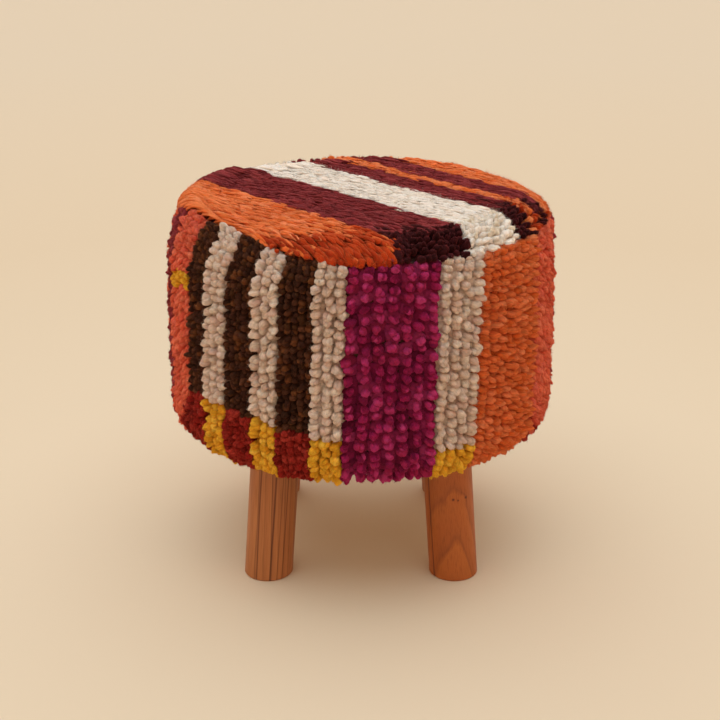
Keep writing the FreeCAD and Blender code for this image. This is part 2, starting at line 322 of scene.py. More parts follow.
def foam(name):
    m = Nodes(name, Specular_IOR_Level=0.1)
    pores, tone = m.cells(m.coords(), 620.0), m.noise(m.coords(), 30.0)
    body = m.ramp(tone, [(0.3, "dcc795"), (0.7, "ead9ae")])
    return m.finished(m.mix("MULTIPLY", 0.6, body, m.ramp(pores, [(0.1, 0.72), (0.5, 1.0)])),
                      (pores, [(0.1, 1.0), (0.6, 0.9)]), (pores, 0.7, 0.001))


def dust_cloth(name):
    """Black spun-bonded cloth with its grid of little pressed points."""
    m = Nodes(name, Sheen_Weight=0.15, Specular_IOR_Level=0.2)
    x, y, _ = m.split(m.mapped(m.coords(), rotation=(0, 0, math.radians(45)), scale=(520, 520, 0)))
    dots = m.times(m.math("PINGPONG", x, 0.5), m.math("PINGPONG", y, 0.5))
    fibres = m.noise(m.coords(), 900.0, 3.0, 0.7)
    black = m.ramp(fibres, [(0.3, "191817"), (0.7, "2d2b29")])
    return m.finished(m.mix("MULTIPLY", 0.6, black, m.ramp(dots, [(0.0, 0.6), (0.1, 1.0)])),
                      (fibres, [(0.3, 0.95), (0.7, 0.8)]), (dots, 0.5, 0.0006))


def ground_cloth(name):
    """The rug's ground weave, seen only deep between the tufts and at the hem: warp and weft in dark wool."""
    m = Nodes(name, Sheen_Weight=0.2, Specular_IOR_Level=0.15)
    u, v = m.uv()
    warp, weft = m.math("SINE", m.times(u, 900.0)), m.math("SINE", m.times(v, 500.0))
    weave = m.math("MULTIPLY_ADD", m.times(warp, weft), 0.5, 0.5)
    hairs = m.noise(m.joined(m.times(u, 300.0), m.times(v, 160.0)), 1.0, 3.0)
    dark = m.ramp(weave, [(0.1, "2c1512"), (0.9, "56302a")])
    return m.finished(m.mix("MULTIPLY", 0.7, dark, m.ramp(hairs, [(0.3, 0.7), (0.7, 1.1)])),
                      (hairs, [(0.3, 0.98), (0.7, 0.85)]), (weave, 0.6, 0.001))


# Each wool's painted shade at the knot (its brightness there), its shades, which come round again where they
# are
# fewer than eight, and the cream's lesser scattering. The last two shades of the top's wools are darker ones:
# painted shade on its front rim.
WOOLS = {name: wool("wool_" + name, *look) for name, look in {
    "maroon": (0.55, "7d2a30 883136 72262a 923a3f 6a2327 7e2e33"),
    "red_orange": (0.65, "d75e44 df684d ce553d e67256 c74d39 db624f"),
    "brown": (0.5, "3f2115 49291b 351a10 56311f 2f180e 432512 64381d 3d2016"),
    "beige": (0.75, "d1b6a5 d7beaf cbad9c ddc7b9 ccb1a0 d3baaf cbaa9c d9c2b2"),
    "magenta": (0.4, "94194d a72a60 7c123f b0346a 6b0d35 97204b"),
    "orange": (0.65, "d56534 da6e40 ce5d2c e0794d c75724 d36738"),
    "yellow": (0.65, "db9d28 e3a933 d19220 e8b140 cb891b dfa12d"),
    "red": (0.4, "831b14 8f261e 6c120b 9a2f26 600e08 841812"),
    "top_orange": (0.65, "ee773f f4804c e66c35 fa8c5c e0662c ec7944 b03307 9c2803"),
    "top_maroon": (0.55, "7a282d 862f33 702427 8f373a 682124 7b2c30 340c10 28080b"),
    "top_cream": (0.95, "fdf1e6 fef4eb faece0 fff7f0 f8e9dc fdf2e8 f6e8d7 eddcc7", 0.12),
}.items()}
STEEL = zinc_steel("zinc_steel")


# ---- Meshes ----

def mesh_piece(name, points, corners, counts, material, uv=None):
    """A smooth mesh of points (mm), the faces' corners and corners per face, on the stool's one body."""
    mesh = bpy.data.meshes.new(name)
    mesh.vertices.add(len(points))
    mesh.vertices.foreach_set("co", (np.asarray(points, float) * MM).astype(np.float32).ravel())
    mesh.loops.add(len(corners))
    mesh.loops.foreach_set("vertex_index", np.asarray(corners, np.int32))
    counts = np.asarray(counts, np.int32)
    mesh.polygons.add(len(counts))
    mesh.polygons.foreach_set("loop_start", (np.cumsum(counts) - counts).astype(np.int32))
    mesh.update(calc_edges=True)
    if uv is not None:
        mesh.uv_layers.new(name="OFBake").uv.foreach_set("vector", np.asarray(uv, np.float32).ravel())
    mesh.shade_smooth()
    piece = bpy.data.objects.new(name, mesh)
    bpy.context.scene.collection.objects.link(piece)
    mesh.materials.append(material)
    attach(piece, "root")
    return piece


def unit(v):
    return v / np.maximum(np.linalg.norm(v, axis=-1, keepdims=True), 1e-9)


def square_to(axis, across):
    """The part of one direction that is square to an axis, as a unit vector."""
    return unit(across - (across * axis).sum(-1, keepdims=True) * axis)


def cols(*parts):
    return np.stack(parts, -1)


def chain(*parts):
    return np.concatenate(parts)


def path_length(*parts):
    """The way along a line from its first point to each of its points."""
    return chain([0], np.cumsum(np.hypot(*(np.diff(part) for part in parts))))


class Yarns:
    """Tufts of one wool, kept until they become one mesh: each is a bent, lobed, closed length of yarn."""

    RING_SHARES = np.array([0.0, 0.22, 0.44, 0.62, 0.76, 0.87, 0.94, 0.98])
    PLY_SHARES = np.array([0.2, 0.45, 0.66, 0.82, 0.93, 0.985])
    CORE_SHARES = np.array([0.0, 0.4, 0.75, 0.95])

    def __init__(self, seed):
        self.points, self.corners, self.counts, self.uv, self.size = [], [], [], [], 0
        self.random = np.random.default_rng(seed)

    def add(self, points, corners, counts, classes, u, v):
        """Copies of one small mesh: their points (n, p, 3), and the faces and map that all of them share."""
        n, p, _ = points.shape
        self.points.append(points.reshape(-1, 3))
        self.corners.append((np.arange(n)[:, None] * p + corners).ravel() + self.size)
        self.counts.append(np.tile(counts, n))
        shade = (classes[:, None] + 0.05 + 0.9 * u) / CLASSES
        self.uv.append(cols(shade, np.broadcast_to(v, shade.shape)).reshape(-1, 2))
        self.size += n * p

    def plies(self, root, middle, tip, across, half_width, half_height, classes, count, first=0):
        """Tufts as bundles: plies leave the knot together, swell apart, and curl in over the tip."""
        rng, n, share = self.random, len(root), self.PLY_SHARES
        axis = unit(tip - root)
        wide = square_to(axis, across)
        high = np.cross(axis, wide)
        k = np.arange(count)
        rho = np.sqrt((k + 0.5) / count) * rng.normal(1, 0.06, (n, count))
        phi = k * GOLDEN_ANGLE + rng.uniform(0, TURN, (n, 1)) + rng.normal(0, 0.25, (n, count))
        turn = rng.normal(0, 0.9, (n, 1, 1))
        curl = rng.uniform(0.55, 0.95, (n, 1, 1))
        thick = 1.16 / math.sqrt(count)
        end = 1 - 0.14 * rho ** 2 + rng.normal(0, 0.04, (n, count))
        t = (share * end[..., None])[..., None]
        spread = 1 - (1 - curl) * np.clip((share - 0.7) / 0.3, 0, 1) ** 1.5
        angle = (phi[..., None] + turn * share)[..., None]
        line = ((1 - t) ** 2 * root[:, None, None] + 2 * t * (1 - t) * middle[:, None, None]
                + t ** 2 * tip[:, None, None])
        reach = (rho[..., None] * spread)[..., None] * (1 - thick)
        line = (line + reach * np.cos(angle) * (half_width[:, None] * wide)[:, None, None]
                + reach * np.sin(angle) * (half_height[:, None] * high)[:, None, None])
        line = line + rng.normal(0, 0.12, line.shape)
        size = np.repeat(thick * np.sqrt(half_width * half_height), count) * rng.normal(1, 0.1, n * count)
        own = rng.random((n, count)) < 0.7
        others = rng.integers(np.reshape(first, (-1, 1)), CLASSES, (n, count))
        shades = np.where(own, classes[:, None], others).ravel()
        ring, along = self.tufts(
            line.reshape(n * count, len(share), 3), np.repeat(wide, count, 0), size, size, shades, 0.68, 0.04,
            rng.normal(0, 0.3, n * count), share, 7, 0.5)
        return ring, along, shades

    def cores(self, root, tip, across, half_width, half_height, classes):
        """The dense foot of each tuft, which closes the pile between the tufts: short, broad, and dark with
        painted shade.
        """
        share = self.CORE_SHARES
        lines = root[:, None] + share[:, None] * 0.52 * (tip - root)[:, None]
        # depth=0.18 keeps the cores to the dark knot end of the wool's ramp: painted shade between the tufts
        self.tufts(lines, across, half_width, half_height, classes, 0.5, 0.08, 0.0, share, 8, depth=0.18)

    def tufts(self, lines, across, half_width, half_height, classes, blunt, lobes, twist, share, sides,
              uneven=1.0, depth=1.0):
        """lines: (n, rings, 3) centre lines through the shares; across: (n, 3), the wide way of each tuft."""
        rng, (n, rings, _) = self.random, lines.shape
        half_width, half_height, blunt, lobes, twist = (
            np.broadcast_to(value, n)[:, None, None]
            for value in (half_width, half_height, blunt, lobes, twist))
        along = unit(np.gradient(lines, axis=1))
        wide = square_to(along, across[:, None])
        high = np.cross(along, wide)
        down, angle = share[:, None], np.arange(sides) * TURN / sides
        cap = np.clip((down - blunt) / (1 - blunt), 0, 1)
        swell = 0.62 + 0.38 * np.sin(np.clip(down / 0.6, 0, 1) * math.pi / 2)
        radius = swell * np.sqrt(np.clip(1 - cap ** 2, 0.02, 1))
        phase = rng.uniform(0, TURN, (n, 3, 1, 1))
        folds = rng.integers(2, 5, (n, 1, 1))
        turn = angle + twist * down * TURN
        lump = (1 + lobes * np.cos(folds * turn + phase[:, 0])
                + 0.07 * uneven * np.cos(3 * angle - 5 * down + phase[:, 1])
                + 0.06 * uneven * np.cos(5 * angle + 9 * down + phase[:, 2]))
        lump = lump * (1 + rng.normal(0, 0.03, (n, rings, sides)))
        ring = (lines[:, :, None] + (radius * lump)[..., None] * (
            (half_width * np.cos(angle))[..., None] * wide[:, :, None]
            + (half_height * np.sin(angle))[..., None] * high[:, :, None]))
        last = np.linalg.norm(lines[:, -1] - lines[:, -2], axis=-1)
        tip = lines[:, -1] + along[:, -1] * (last * 0.45)[:, None]
        points = np.concatenate([ring.reshape(n, -1, 3), tip[:, None]], axis=1)
        for reach, size in ((5.3, 0.45), (3.1, 0.25)):
            waves = points @ rng.normal(0, 1 / reach, (3, 3)) + rng.uniform(0, 6.28, 3)
            points = points + size * np.sin(waves)
        i, j = np.meshgrid(np.arange(rings - 1), np.arange(sides), indexing="ij")
        k, edge, top = (j + 1) % sides, np.arange(sides), (rings - 1) * sides
        quads = cols(i * sides + j, i * sides + k, (i + 1) * sides + k, (i + 1) * sides + j)
        caps = cols(top + edge, top + (edge + 1) % sides, np.full(sides, rings * sides))
        u = chain(cols(j, j + 1, j + 1, j).ravel(), cols(edge, edge + 1, edge + 0.5).ravel()) / sides
        v = chain(cols(share[i], share[i], share[i + 1], share[i + 1]).ravel(),
                  np.tile([share[-1], share[-1], 1.0], sides))
        # A depth under one shortens the map's run along the tuft, so the wool's painted shade keeps it darker
        self.add(points, chain(quads.ravel(), caps.ravel()), np.repeat([4, 3], [i.size, sides]),
                 classes, u, 0.01 + 0.98 * depth * v)
        return ring, along

    def fibres(self, ring, along, classes, each, length, lift, width):
        """Loose hairs that leave the tufts' surfaces: thin tapering slips of two lengths."""
        rng, (n, rings, sides, _) = self.random, ring.shape
        who = np.repeat(np.arange(n), each)
        m = len(who)
        at = rng.integers(rings // 2 - 1, rings, m)
        start = ring[who, at, rng.integers(0, sides, m)]
        out = unit(start - ring[who, at].mean(1))
        way = unit(out * rng.uniform(0.2, 1.0, (m, 1)) * lift + along[who, at] * rng.uniform(0.3, 1.0, (m, 1))
                   + rng.normal(0, 0.38, (m, 3)))
        bend = rng.normal(0, 0.45, (m, 3))
        far = length * rng.uniform(0.5, 1.3, (m, 1))
        start = start - way * 0.6
        middle = start + way * far * 0.5
        end = middle + unit(way + bend) * far * 0.5
        slip = unit(np.cross(way, out + rng.normal(0, 0.25, (m, 3)))) * width / 2
        points = np.stack([start - slip, start + slip, middle + slip * 0.8, middle - slip * 0.8, end], 1)
        self.add(points, np.array([0, 1, 2, 3, 3, 2, 4]), [4, 3], classes[who],
                 np.array([0.2, 0.8, 0.8, 0.2, 0.2, 0.8, 0.5]),
                 np.array([0.72, 0.72, 0.9, 0.9, 0.9, 0.9, 0.99]))

    def piece(self, name, wool_name):
        points, corners, counts, uv = map(np.concatenate, (self.points, self.corners, self.counts, self.uv))
        return mesh_piece(name, points, corners, counts, WOOLS[wool_name], uv)


# ---- The side strip's pile ----

def plateau(degrees, first, last, before, after):
    """One between two angles round the stool, easing to none over so many degrees before and after them."""
    turn = (np.asarray(degrees, float) - (first + last) / 2 + 180) % 360 - 180
    past = np.clip((np.abs(turn) - (last - first) / 2) / np.where(turn > 0, after, before), 0, 1)
    return 1 - past ** 2 * (3 - 2 * past)


def rim(degrees):
    """The rim's centre, its half axes at the pile's tips, and how far up it the seam runs, in degrees."""
    full = float(plateau(degrees, *RIM_FULL))
    a, b = (plain + (stuffed - plain) * full for plain, stuffed in zip(RIM_PLAIN, RIM_STUFFED))
    seam = SEAM_LOW + SEAM_RISE * float(plateau(degrees, *SEAM_HIGH))
    return (SEAT_RADIUS - RIM_INSET - a, SEAT_HEIGHT - b), (a, b), seam


def on_rim(shape, depth, angles):
    """Points of the rim's round, as (radius, height), at a depth under the pile's tips."""
    (centre, level), (a, b), _ = shape
    t = np.radians(angles)
    return cols(centre + (a - depth) * np.cos(t), level + (b - depth) * np.sin(t))


def over_top(shape, depth, flat, angles):
    """Points of the top at some radii on the flat, and then of the rim."""
    (_, level), (_, b), _ = shape
    return chain(cols(flat, np.full(len(flat), level + b - depth)), on_rim(shape, depth, angles))


ROUND_STEPS, WALL_STEPS, RUN_STEPS = 30, 60, 6


def side_path(degrees):
    """The pile's tips and roots down the side, as (radius, height) points, and the way along the tips."""
    shape = (_, level), _, seam = rim(degrees)
    arc = np.linspace(seam, 0, ROUND_STEPS)
    turn = np.radians(np.linspace(0, -90, ROUND_STEPS))
    wall = np.linspace(level, WALL_FOOT, WALL_STEPS)
    run = np.linspace(SKIRT_RADIUS, HEM_RADIUS, RUN_STEPS)

    def path(depth):
        skirt = SKIRT_ROUND - depth
        lean = RIM_INSET * np.clip((wall - LEAN_FROM) / LEAN_OVER, 0, 1)
        return chain(
            on_rim(shape, depth, arc),
            cols(SEAT_RADIUS - depth - lean, wall),
            cols(SKIRT_RADIUS + skirt * np.cos(turn), WALL_FOOT + skirt * np.sin(turn)),
            cols(run, np.full(RUN_STEPS, WALL_FOOT - skirt)))

    tips = path(0.0)
    return tips, path(PILE), path_length(*tips.T)


def on_path(path, length, s):
    return np.interp(s, length, path[:, 0]), np.interp(s, length, path[:, 1])


def round_point(radius, degrees, height):
    a = np.radians(degrees)
    return cols(radius * np.cos(a), radius * np.sin(a), height)


def tangents(degrees):
    return round_point(np.ones(len(degrees)), degrees + 90, np.zeros(len(degrees)))


def side_tufts():
    """Every knot of the side strip, by wool: radius and height of root and tip, angle, stripe's edge."""
    rng = np.random.default_rng(7)
    found = {}
    start = SIDE_START
    for wool_name, end in SIDE_STRIPES:
        pitch, row = SIDE_TUFTS[wool_name][:2]
        columns = max(2, round(math.radians(end - start) * SEAT_RADIUS / pitch))
        level = BORDER_HEIGHT - BORDER_RISE * math.cos(math.radians((start + end) / 2))
        runs_out = wool_name == "red_orange"
        for i in range(columns):
            middle = start + (end - start) * (i + 0.5) / columns
            tips, roots, length = side_path(middle)
            first = 1 - plateau(middle, *CLIMB)
            rows = np.arange(rng.uniform(0.75, 1.1) * row * first, length[-1], row)
            s = np.clip(rows + rng.normal(0, row * 0.15, len(rows)), 5.5 * first, length[-1])
            angle = start + (end - start) * (i + 0.5 + rng.normal(0, 0.09, len(s))) / columns
            tip_r, tip_z = on_path(tips, length, s)
            angle = angle + SLANT * (tip_z - SLANT_AT) + RIM_SLANT * np.maximum(tip_z - RIM_SLANT_AT, 0)
            edge = (i == 0) * -1.0 + (i == columns - 1) * 1.0
            drop = RUN_OUT_SLOPE * max(0.0, RUN_OUT_AT - middle) if runs_out else 0.0
            low = tip_z < level - drop + rng.normal(0, 1.5, len(s))
            patch = runs_out & (angle > PATCH_SPAN[0]) & (angle < PATCH_SPAN[1]) & (
                np.abs(tip_z - PATCH_HEIGHT + (PATCH_AT - angle) * PATCH_SLOPE) < PATCH_HALF)
            knots = cols(*on_path(roots, length, s), tip_r, tip_z, angle, np.full(len(s), edge))
            border = BORDERS.get(wool_name, wool_name)
            for name, chosen in ((wool_name, ~low & ~patch), (border, low & ~patch), ("yellow", patch)):
                if chosen.any():
                    found.setdefault(name, []).append(knots[chosen])
        start = end
    return {name: np.concatenate(parts) for name, parts in found.items()}


def side_yarns(wool_name, knots, seed):
    column, row, extra, half_width, half_height, droop, count, hairs = SIDE_TUFTS[wool_name]
    yarns = Yarns(seed)
    rng = yarns.random
    root_r, root_z, tip_r, tip_z, angle, edge = knots.T
    n = len(angle)
    root = round_point(root_r, angle, root_z)
    tip = round_point(tip_r, angle, tip_z)
    out = unit(tip - root)
    tangent = tangents(angle)
    classes = rng.integers(0, CLASSES, n)
    yarns.cores(root, tip, tangent, column * 0.74, row * 0.84, classes)
    # The tufts sway away from the parting, the orange ones all to the right, and splay at a stripe's edge.
    turn = (angle - PARTING + 180) % 360 - 180
    splay = edge * np.where((edge * turn > 0) & (wool_name != "brown"), 2.8, 0.5)
    sway = np.clip(turn / 45, -1, 1) * 2.4 + splay + rng.normal(0, 1.0, n)
    if wool_name == "orange":
        sway = sway + 4.5 * (np.abs(turn) < 100)
    grow = extra + rng.normal(0, 1.1, n) - 2.2 * np.clip((tip_z - 335) / 20, 0, 1)
    fall = np.where(tip_z < 345, droop, 0) + rng.normal(0, 0.9, n)
    tip = tip + out * grow[:, None] + tangent * sway[:, None]
    tip[:, 2] -= fall
    middle = root + out * (PILE * 0.62) + tangent * (sway * 0.25)[:, None]
    ring, along, shades = yarns.plies(
        root, middle, tip, tangent, half_width * rng.normal(1, 0.1, n), half_height * rng.normal(1, 0.1, n),
        classes, count)
    yarns.fibres(ring, along, shades, hairs, 3.2, 1.1, 0.13)
    return yarns


# ---- The top's pile, combed towards the front right ----

class TopGround:
    """The top's ground from its middle out over the rim, for any distance out and angle round."""

    STEP, LAST = 0.5, 440
    ROUND_STEP, FLAT_STEPS = 3, 40
    ROUND = np.arange(0, 360 + ROUND_STEP, ROUND_STEP)

    def __init__(self):
        s = np.arange(self.LAST + 1) * self.STEP
        self.tables, self.seams = [], []
        for degrees in self.ROUND:
            shape = (centre, _), _, seam = rim(degrees)
            flat = np.linspace(0, centre, self.FLAT_STEPS)
            arc = np.linspace(90, 0, 60)[1:]
            inner, outer = (over_top(shape, depth, flat, arc) for depth in (PILE, 0.0))
            length = path_length(*inner.T)
            columns = (*inner.T, *unit(outer - inner).T)
            self.tables.append(np.stack([np.interp(s, length, column) for column in columns]))
            past = math.pi / 2 - np.radians(arc)
            self.seams.append(np.interp(math.radians(90 - seam), past, length[len(flat):]))
        self.tables = np.stack(self.tables, 1)

    def at(self, s, degrees):
        """Radius, height, and the normal's two parts."""
        f, k = np.asarray(degrees) % 360 / self.ROUND_STEP, np.clip(s / self.STEP, 0, self.LAST - 0.001)
        i, j = np.minimum(f.astype(int), len(self.ROUND) - 2), k.astype(int)
        f, k = f - i, k - j
        t = self.tables
        return ((1 - f) * ((1 - k) * t[:, i, j] + k * t[:, i, j + 1])
                + f * ((1 - k) * t[:, i + 1, j] + k * t[:, i + 1, j + 1]))

    def seam(self, degrees):
        return np.interp(np.asarray(degrees) % 360, self.ROUND, self.seams)

    def turning(self, s, degrees):
        """How far the nap has turned to fall over the front right rim: none on the flat, one at the seam."""
        toward = np.cos(np.radians(TOP_HEADING - degrees))
        near = np.clip((s - self.seam(degrees) + NAP_TURN) / NAP_TURN, 0, 1)
        return near ** 2 * np.clip((toward - 0.45) / 0.35, 0, 1)

    def standing(self, s, degrees, across):
        """Whether a place is among the tufts that stand, at the back rim or the front right."""
        turn = (np.asarray(degrees) + 180) % 360 - 180
        inward = self.seam(degrees) - s
        front = (turn > STAND_FRONT[0]) & (turn < STAND_FRONT[1]) & (across > TOP_STRIPES[0][1])
        back = (turn > STAND_BACK[0]) & (turn < STAND_BACK[1])
        return front & (inward < FRONT_DEPTH) | back & (inward < BACK_DEPTH)


def top_knots(ground):
    """The top's knots: place out from the middle, round it and across the combing, and half width."""
    rng = np.random.default_rng(11)
    heading = math.radians(TOP_HEADING)
    u, n = np.array([math.cos(heading), math.sin(heading)]), np.array([-math.sin(heading), math.cos(heading)])
    reach = 195
    found = []
    for band, (pitch_along, pitch_across, half_width) in enumerate(TOP_BANDS):
        for c in np.arange(-reach, reach, pitch_across):
            along = np.arange(-reach + rng.uniform(0, pitch_along), reach, pitch_along)
            a = along + rng.normal(0, pitch_along * 0.2, len(along))
            across = c + rng.normal(0, pitch_across * 0.14, len(along))
            sigma = np.hypot(a, across)
            at = a[:, None] * u + across[:, None] * n
            theta = np.degrees(np.arctan2(at[:, 1], at[:, 0]))
            across = across + NAP_SHIFT * ground.turning(sigma, theta)
            # The yarns are fine where they are combed flat, and full where they turn over the front rim.
            front = sigma * np.cos(np.radians(theta - BAND_FACING)) + rng.normal(0, 5, len(along))
            last = ground.seam(theta) + 2.5 + 9 * plateau(theta, *NAP_START) - 7 * plateau(theta, *CLIMB)
            keep = (sigma < last) & (np.digitize(front, BAND_EDGES) == band)
            keep &= ~ground.standing(sigma, theta, across)
            found.append(cols(sigma, theta, across, np.full(len(a), half_width))[keep])
    return np.concatenate(found)


def standing_knots(ground):
    """Knots of the standing tufts, in rows along the rim, like the top's but with no half width."""
    rng = np.random.default_rng(12)
    n = np.radians(TOP_HEADING + 90)
    found = []
    for rows, span in ((FRONT_ROWS, STAND_FRONT), (BACK_ROWS, STAND_BACK)):
        for row in rows:
            theta = np.arange(*span, STAND_PITCH) + rng.uniform(0, 2)
            theta = theta + rng.normal(0, 0.45, len(theta))
            sigma = ground.seam(theta) + row + rng.normal(0, 0.9, len(theta))
            across = sigma * np.cos(np.radians(theta) - n) + NAP_SHIFT * ground.turning(sigma, theta)
            off = across - THIN_STRIPE
            across = np.where(np.abs(off) < THIN_REACH, THIN_STRIPE + off * THIN_DRAW, across)
            keep = ground.standing(sigma, theta, across)
            found.append(cols(sigma, theta, across, np.zeros(len(theta)))[keep])
    return np.concatenate(found)


def shaded(rng, deep):
    """A shade for each tuft: one of the darker ones that paint shade where asked, otherwise one of the
    others.
    """
    n = len(deep)
    return np.where(deep, rng.integers(FIRST_PAINTED_SHADE, CLASSES, n), rng.integers(0, FIRST_PAINTED_SHADE, n))


def combed(yarns, ground, wool_name, knots):
    """The top's yarns, combed flat over one another towards the front right and turning over the rim."""
    rng = yarns.random
    sigma, theta, across, half_width = knots.T
    n = len(sigma)
    finest, thickest = TOP_BANDS[0][2], TOP_BANDS[-1][2]
    full = np.clip((half_width - finest) / (thickest - finest), 0, 1)
    heading = TOP_HEADING + rng.normal(0, 3.0, n) + 3 * np.sin(sigma / 40 + np.radians(theta) * 2)
    toward = np.cos(np.radians(heading - theta))
    seam = ground.seam(theta)
    free = np.where(ground.standing(seam, theta, across), seam - 30, seam)
    room = (free - sigma) / np.maximum(toward, 0.2) + 3
    reach = (40 - 15 * full) * rng.normal(1, 0.12, n)
    reach = np.where(toward > 0.2, np.minimum(reach, np.maximum(room, 6)), reach)
    stand = np.clip(1 - reach / 24, 0, 1)
    upright = np.clip((sigma - seam + 26) / 20, 0, 1) * plateau(theta, *NAP_START)
    lift = 11.2 - 1.3 * full + 2.4 * stand + 2.6 * upright + rng.normal(0, 0.45 + 0.4 * full, n)
    power = 2.3 + 8 * upright
    s, a = sigma.copy(), np.radians(theta)
    bend = 18 if wool_name == "orange" else 40
    lines, before = [], 0.0
    for share in yarns.RING_SHARES:
        step = (share - before) * reach / 4
        for _ in range(4):
            degrees = np.degrees(a)
            way = np.radians(heading - bend * ground.turning(s, degrees))
            moved = s + np.cos(way - a) * step
            a = a + np.sin(way - a) * step / np.maximum(ground.at(s, degrees)[0], 8.0)
            degrees = np.degrees(a)
            past = 2.0 + 9 * plateau(degrees, *NAP_START) - 6 * plateau(degrees, *CLIMB)
            s = np.clip(moved, 0.5, ground.seam(degrees) + past)
        before = share
        r, z, nr, nz = ground.at(s, degrees)
        crease = np.exp(-((ground.seam(degrees) - s - 13) / 3.5) ** 2) * plateau(degrees, *CREASE)
        rise = lift * (1 - (1 - share) ** power) - 4.5 * crease * min(1, share * 2)
        lines.append(round_point(r + nr * rise, degrees, z + nz * rise))
    lines = np.stack(lines, 1)
    sideways = unit(np.cross(round_point(nr, degrees, nz), unit(lines[:, -1] - lines[:, 0])))
    # Painted shade: darker shades where the orange's full yarns turn over the front rim, and for the maroon
    # and cream more and more from 100 mm in from the front right rim
    if wool_name == "orange":
        deep = plateau(theta, *PAINTED_SHADE_ORANGE) * (full > 0.3) * (0.75 + 0.23 * full)
    else:
        deep = 0.8 * np.clip((sigma - seam + 100) / 60, 0, 1) * plateau(theta, *PAINTED_SHADE_OTHERS)
    classes = shaded(rng, rng.random(n) < deep)
    half_width = half_width * rng.normal(1, 0.1, n)
    ring, along = yarns.tufts(
        lines, sideways, half_width, half_width * 0.85, classes, 0.42 + 0.26 * full + rng.normal(0, 0.04, n),
        0.05 + 0.07 * full, (0.4 + 0.8 * full) * rng.normal(1, 0.2, n), yarns.RING_SHARES, 8)
    yarns.fibres(ring, along, classes, 26, 5.0, 0.9, 0.14)


def stood(yarns, ground, wool_name, knots):
    """The standing tufts, round-tipped, leaning a little out at the front right and in at the back."""
    rng = yarns.random
    sigma, theta, _, _ = knots.T
    n = len(sigma)
    r, z, nr, nz = ground.at(sigma, theta)
    root = round_point(r, theta, z)
    out = round_point(nr, theta, nz)
    tangent = tangents(theta)
    downhill = np.cross(tangent, out)
    # Painted shade: at the front the standing tufts take the darker shades, every maroon one, for the shade
    # among them
    front = np.sin(np.radians(theta)) < 0
    deep = front & (rng.random(n) < {"cream": 0.3, "maroon": 1.0, "orange": 0.6}[wool_name])
    classes = shaded(rng, deep)
    yarns.cores(root, root + out * PILE, tangent, 4.5, 4.5, classes)
    lean = (np.where(front, 3.0, -2.0) + rng.normal(0, 1.2, n))[:, None]
    tall = np.where(front, 14.2, 12.6) + rng.normal(0, 1.0, n)
    tip = root + out * tall[:, None] + downhill * lean + tangent * rng.normal(0, 1.2, n)[:, None]
    middle = root + out * 9 + downhill * lean * 0.3
    ring, along, shades = yarns.plies(
        root, middle, tip, tangent, 4.2 * rng.normal(1, 0.12, n), 4.0 * rng.normal(1, 0.12, n), classes, 3,
        np.where(deep, FIRST_PAINTED_SHADE, 0))
    yarns.fibres(ring, along, shades, 26, 3.6, 1.1, 0.13)


def top_yarns(ground, wool_name, knots, seed):
    yarns = Yarns(seed)
    upright = knots[:, 3] == 0
    for make, mine in ((combed, knots[~upright]), (stood, knots[upright])):
        if len(mine):
            make(yarns, ground, wool_name, mine)
    return yarns


def named_groups(name, knots, most):
    """The knots in as many even groups as their number asks for, each with its piece's name."""
    groups = np.array_split(knots, max(1, math.ceil(len(knots) / most)))
    for j, group in enumerate(groups):
        yield j, name + (f"_{j + 1}" if len(groups) > 1 else ""), group


def rug_pile(ground):
    """The pile's pieces: one or more for each wool of each part of the rug."""
    side, top = [], []
    for i, (wool_name, knots) in enumerate(sorted(side_tufts().items())):
        count, hairs = SIDE_TUFTS[wool_name][6:]
        order = np.argsort((knots[:, 4] - SIDE_START) % 360)
        most = SIDE_FACES // (56 + count * (77 + 3 * hairs))
        for j, name, group in named_groups(f"side_pile_{wool_name}", knots[order], most):
            piece = side_yarns(wool_name, group, 100 + 10 * i + j).piece(name, wool_name)
            node = "rug_border_" if wool_name in BORDERS.values() else "rug_side_"
            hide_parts(node + wool_name)
            side.append(piece)
    knots = chain(top_knots(ground), standing_knots(ground))
    stripe = np.searchsorted([edge for _, edge in TOP_STRIPES], knots[:, 2])
    for i, wool_name in enumerate(("orange", "maroon", "cream")):
        mine = np.isin(stripe, [k for k, (name, _) in enumerate(TOP_STRIPES) if name == wool_name])
        for j, name, group in named_groups(f"top_pile_{wool_name}", knots[mine], TOP_KNOTS):
            piece = top_yarns(ground, wool_name, group, 300 + 10 * i + j).piece(name, "top_" + wool_name)
            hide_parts("rug_top_" + wool_name)
            top.append(piece)
    return side, top


# ---- Cloth and foam ----

def lathed(name, profile, material, segments=128, closed=False, ripple=0.0, seed=1):
    """A surface round the stool's axis: profile gives its (radius, height) points for each angle round."""
    rng = np.random.default_rng(seed)
    angle = np.arange(segments) * 360 / segments
    waves = [(rng.integers(2, 9), rng.uniform(0, 6.28), rng.normal(0, 1)) for _ in range(5)]
    wobble = ripple * sum(w * np.cos(k * np.radians(angle) + p) for k, p, w in waves) / 3
    grid = np.stack([profile(degrees) for degrees in angle], 1)
    m = len(grid)
    radius = grid[..., 0] + wobble * (grid[..., 0] > 20)
    points = round_point(radius, np.broadcast_to(angle, radius.shape), grid[..., 1]).reshape(-1, 3)
    i, j = np.meshgrid(np.arange(m if closed else m - 1), np.arange(segments), indexing="ij")
    i2, j2 = (i + 1) % m, (j + 1) % segments
    quads = cols(i * segments + j, i2 * segments + j, i2 * segments + j2, i * segments + j2)
    v = path_length(*grid[:, 0].T)
    v = np.append(v / v[-1], 1.0)
    uv = np.stack([cols((j + right) / segments, v[i + down])
                   for right, down in ((0, 0), (0, 1), (1, 1), (1, 0))], 2)
    return mesh_piece(name, points, quads.reshape(-1), np.full(i.size, 4), material, uv.reshape(-1, 2))


def thicken(piece, thickness, offset):
    solidify = piece.modifiers.new("thickness", "SOLIDIFY")
    solidify.thickness, solidify.offset = thickness * MM, offset


